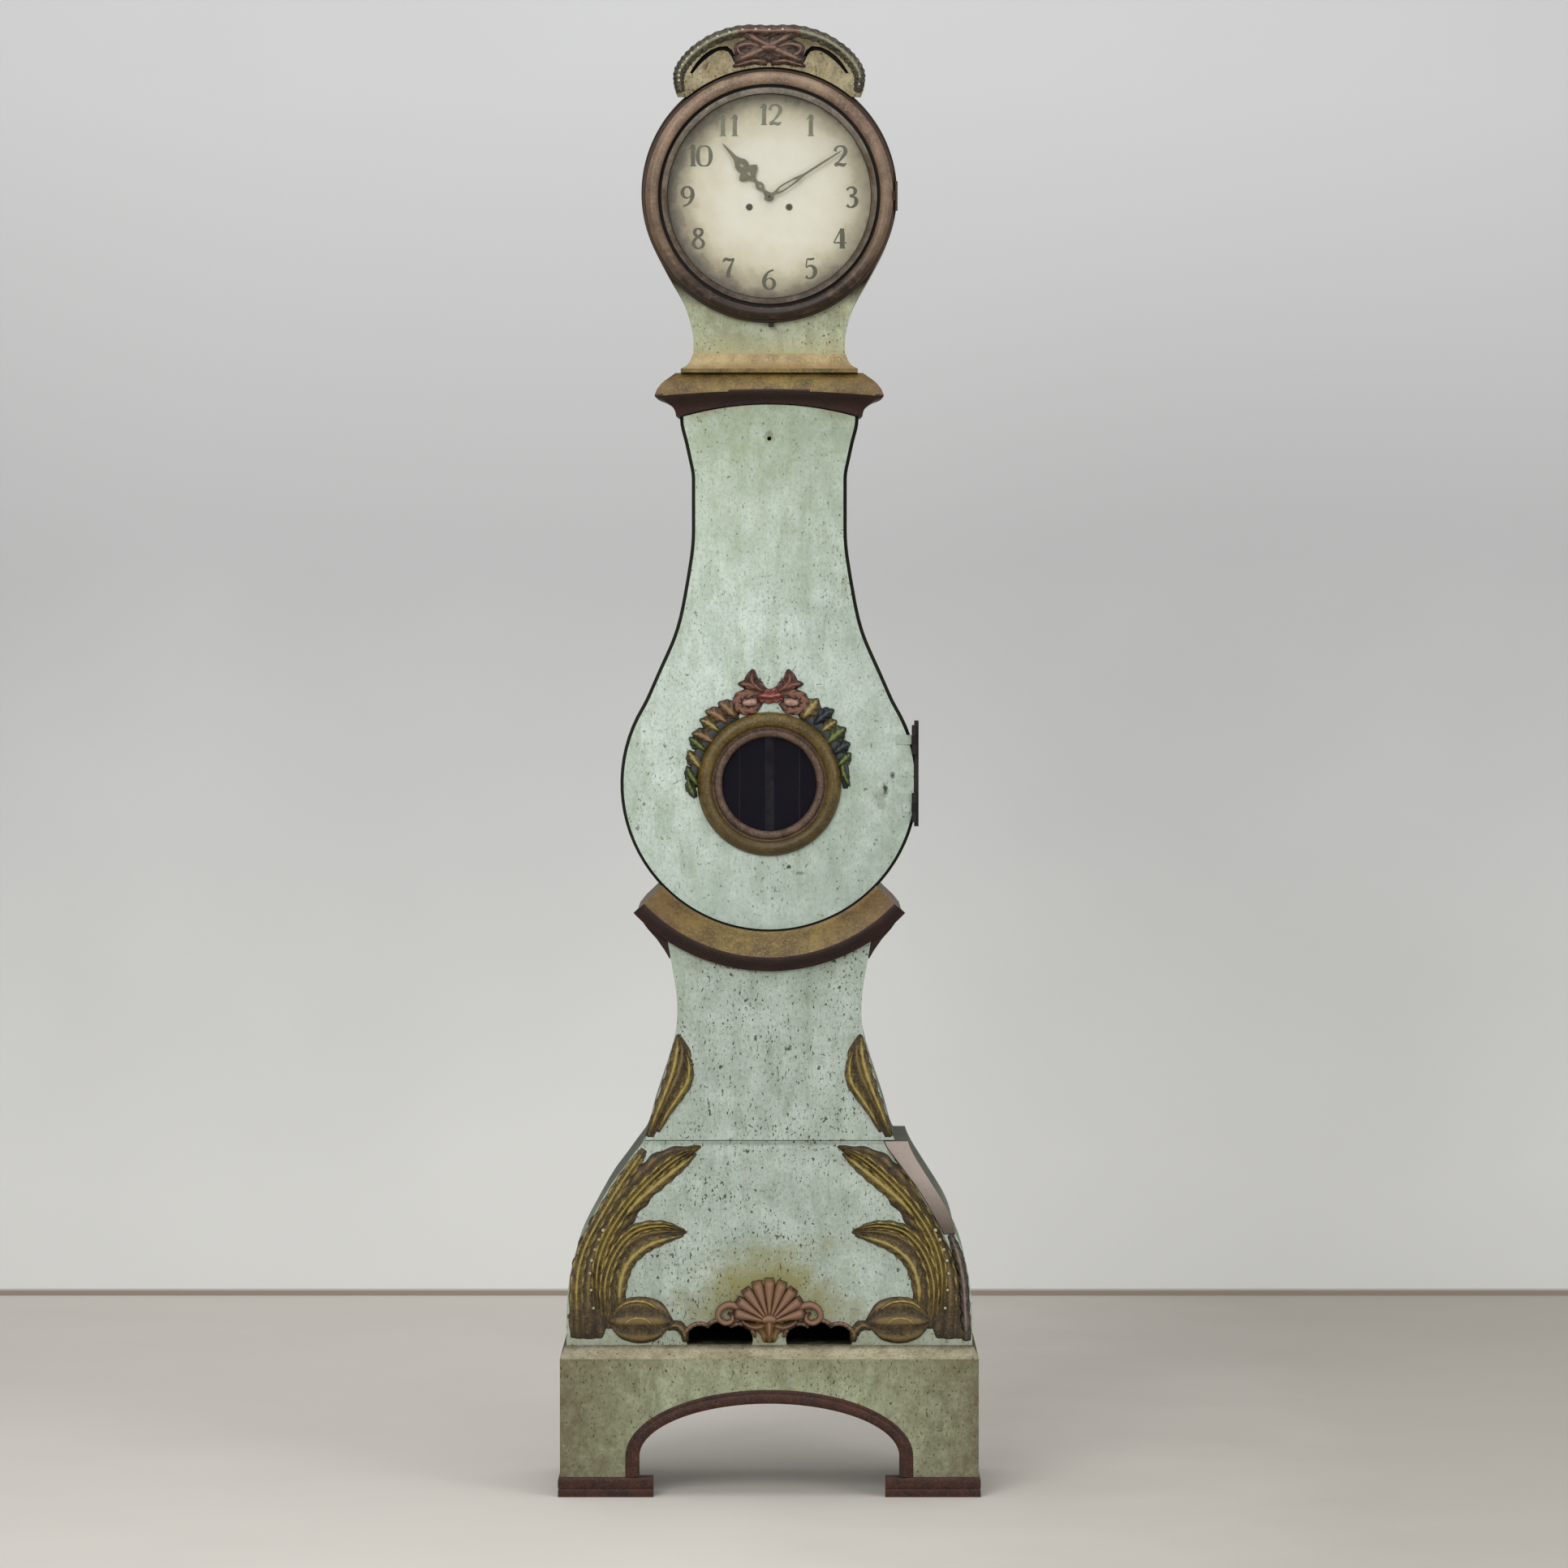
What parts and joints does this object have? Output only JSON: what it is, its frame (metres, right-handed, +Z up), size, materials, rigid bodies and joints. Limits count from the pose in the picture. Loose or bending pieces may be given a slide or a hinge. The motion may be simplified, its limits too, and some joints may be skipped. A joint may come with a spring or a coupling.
{
  "type": "mora clock",
  "caption": "Swedish longcase clock with a round hood, glazed bezel door, round-bellied trunk with a windowed door, flared carved base on a plinth, weight-driven movement and pendulum.",
  "frame": {"origin": "on the floor, under the middle of the plinth", "axes": "+Z up, the dial and the door face -Y, +X to the right seen from the front"},
  "size_m": [0.605, 0.28, 2.1],
  "materials": {
    "paint": "matt distemper paint",
    "paint_dark": "matt distemper paint, dirtier",
    "raw_wood": "bare pine",
    "gilt_wood": "bronze-gold painted wood",
    "brown_wood": "dark brown painted wood",
    "leaf_paint": "olive-gold painted carving",
    "red_paint": "red painted carving",
    "dial_paint": "cream painted iron",
    "glass": "old window glass",
    "iron": "dark iron",
    "steel": "worn steel",
    "brass": "aged brass",
    "gut": "gut line",
    "hand_paint": "blackened iron hands"
  },
  "bodies": {
    "case": {"plinth_front": "paint_dark", "plinth_boards": "paint_dark", "plinth_top": "paint", "plinth_trim": "brown_wood", "base_front_lower": "paint", "base_front_upper": "paint", "case_sides": "paint", "base_leaves": "leaf_paint", "base_shell": "red_paint", "lower_moulding": "gilt_wood", "trunk_top": "raw_wood", "hinge_stile": "iron", "back_boards": "raw_wood", "seat_board": "raw_wood", "cornice": "gilt_wood", "trunk_hinge_fixed": "iron", "dial": "dial_paint", "movement_frame": "brass", "movement_brackets": "brass", "bells": "brass", "gut_time": "gut", "gut_strike": "gut"},
    "trunk_door": {"trunk_door": "paint", "trunk_hinge_moving": "iron", "window_ring": "gilt_wood", "window_glass": "glass", "door_lock": "iron", "garland": "leaf_paint", "ribbon_bow": "red_paint"},
    "lock_bolt": {"lock_bolt": "steel"},
    "hood": {"hood_front": "paint_dark", "hood_shell": "paint", "hood_foot_moulding": "gilt_wood", "crest_board": "paint", "crest_carving": "leaf_paint", "hood_hinge_fixed": "brass"},
    "hood_door": {"hood_bezel": "brown_wood", "hood_glass": "glass", "hood_hinge_moving": "brass", "hood_pull": "iron"},
    "minute": {"centre_arbor": "brass", "minute_hand": "hand_paint"},
    "hour": {"hour_wheel": "brass", "hour_hand": "hand_paint"},
    "minute_wheel": {"minute_wheel": "brass"},
    "time_great_wheel": {"time_great_wheel": "brass"},
    "third_wheel": {"third_wheel": "brass"},
    "escape_wheel": {"escape_wheel": "brass"},
    "anchor": {"anchor_crutch": "steel"},
    "pendulum": {"pendulum_rod": "steel", "pendulum_bob": "brass"},
    "time_drum": {"time_drum": "brass"},
    "strike_drum": {"strike_drum": "brass"},
    "strike_great_wheel": {"strike_great_wheel": "brass"},
    "pin_wheel": {"pin_wheel": "brass"},
    "strike_third_wheel": {"strike_third_wheel": "brass"},
    "fly": {"fly": "brass"},
    "hammer": {"hammer": "steel"},
    "weight_time": {"weight_time": "iron"},
    "weight_strike": {"weight_strike": "iron"}
  },
  "joints": [
    {"name": "hood_slide", "type": "slide", "parent": "case", "child": "hood", "axis": [0, -1, 0], "range_m": [0, 0.25]},
    {"name": "hood_door_hinge", "type": "hinge", "parent": "hood", "child": "hood_door", "pos_m": [0.1803, -0.108, 1.8572], "axis": [0, 0, 1], "range_deg": [0, 110]},
    {"name": "trunk_door_hinge", "type": "hinge", "parent": "case", "child": "trunk_door", "pos_m": [0.207, -0.1082, 1.0196], "axis": [0, 0, 1], "range_deg": [0, 110]},
    {"name": "lock_bolt_slide", "type": "slide", "parent": "trunk_door", "child": "lock_bolt", "axis": [0, 0, 1], "range_m": [0, 0.016]},
    {"name": "escape_turn", "type": "hinge", "parent": "case", "child": "escape_wheel", "pos_m": [0, -0.031, 1.90296], "axis": [0, 1, 0], "continuous": true},
    {"name": "minute_turn", "type": "hinge", "parent": "case", "child": "minute", "pos_m": [0, -0.031, 1.8572], "axis": [0, 1, 0], "continuous": true},
    {"name": "hour_turn", "type": "hinge", "parent": "case", "child": "hour", "pos_m": [0, -0.031, 1.8572], "axis": [0, 1, 0], "continuous": true},
    {"name": "minute_wheel_turn", "type": "hinge", "parent": "case", "child": "minute_wheel", "pos_m": [0, -0.031, 1.8332], "axis": [0, 1, 0], "continuous": true},
    {"name": "time_great_turn", "type": "hinge", "parent": "case", "child": "time_great_wheel", "pos_m": [0.0284, -0.031, 1.8427], "axis": [0, 1, 0], "continuous": true},
    {"name": "third_turn", "type": "hinge", "parent": "case", "child": "third_wheel", "pos_m": [0.00598, -0.031, 1.88168], "axis": [0, 1, 0], "continuous": true},
    {"name": "pendulum_swing", "type": "hinge", "parent": "case", "child": "pendulum", "pos_m": [0, -0.031, 1.927], "axis": [0, 1, 0], "range_deg": [-3, 3]},
    {"name": "anchor_rock", "type": "hinge", "parent": "case", "child": "anchor", "pos_m": [0, -0.031, 1.927], "axis": [0, 1, 0], "range_deg": [-3, 3]},
    {"name": "time_weight_lift", "type": "slide", "parent": "case", "child": "weight_time", "axis": [0, 0, 1], "range_m": [0, 1.2], "deforming": ["gut_time"]},
    {"name": "strike_weight_lift", "type": "slide", "parent": "case", "child": "weight_strike", "axis": [0, 0, 1], "range_m": [0, 1.2], "deforming": ["gut_strike"]},
    {"name": "time_drum_turn", "type": "hinge", "parent": "case", "child": "time_drum", "pos_m": [0.0284, -0.031, 1.8427], "axis": [0, 1, 0], "range_deg": [-4619.4, 0]},
    {"name": "strike_drum_turn", "type": "hinge", "parent": "case", "child": "strike_drum", "pos_m": [-0.0284, -0.031, 1.8427], "axis": [0, 1, 0], "range_deg": [0, 4619.4]},
    {"name": "fly_turn", "type": "hinge", "parent": "case", "child": "fly", "pos_m": [-0.02123, -0.031, 1.90536], "axis": [0, 1, 0], "continuous": true},
    {"name": "pin_wheel_turn", "type": "hinge", "parent": "case", "child": "pin_wheel", "pos_m": [-0.03087, -0.031, 1.87094], "axis": [0, 1, 0], "continuous": true},
    {"name": "strike_great_turn", "type": "hinge", "parent": "case", "child": "strike_great_wheel", "pos_m": [-0.0284, -0.031, 1.8427], "axis": [0, 1, 0], "continuous": true},
    {"name": "strike_third_turn", "type": "hinge", "parent": "case", "child": "strike_third_wheel", "pos_m": [-0.02874, -0.031, 1.89123], "axis": [0, 1, 0], "continuous": true},
    {"name": "hammer_lift", "type": "hinge", "parent": "case", "child": "hammer", "pos_m": [-0.05, -0.031, 1.912], "axis": [0, 1, 0], "range_deg": [-12, 0], "stiffness_Nm_per_rad": 0.1, "springref_deg": 11.46}
  ],
  "couplings": [
    {"joint": "third_turn", "follows": "escape_turn", "ratio": -0.13333},
    {"joint": "minute_turn", "follows": "escape_turn", "ratio": 0.016667},
    {"joint": "hour_turn", "follows": "escape_turn", "ratio": 0.0013889},
    {"joint": "minute_wheel_turn", "follows": "escape_turn", "ratio": -0.0055556},
    {"joint": "time_great_turn", "follows": "escape_turn", "ratio": -0.0013889},
    {"joint": "anchor_rock", "follows": "pendulum_swing", "ratio": 1},
    {"joint": "time_drum_turn", "follows": "time_weight_lift", "rad_per_m": -67.114},
    {"joint": "strike_drum_turn", "follows": "strike_weight_lift", "rad_per_m": 67.114},
    {"joint": "strike_third_turn", "follows": "fly_turn", "ratio": -0.14286},
    {"joint": "pin_wheel_turn", "follows": "fly_turn", "ratio": 0.019048},
    {"joint": "strike_great_turn", "follows": "fly_turn", "ratio": -0.002381}
  ]
}
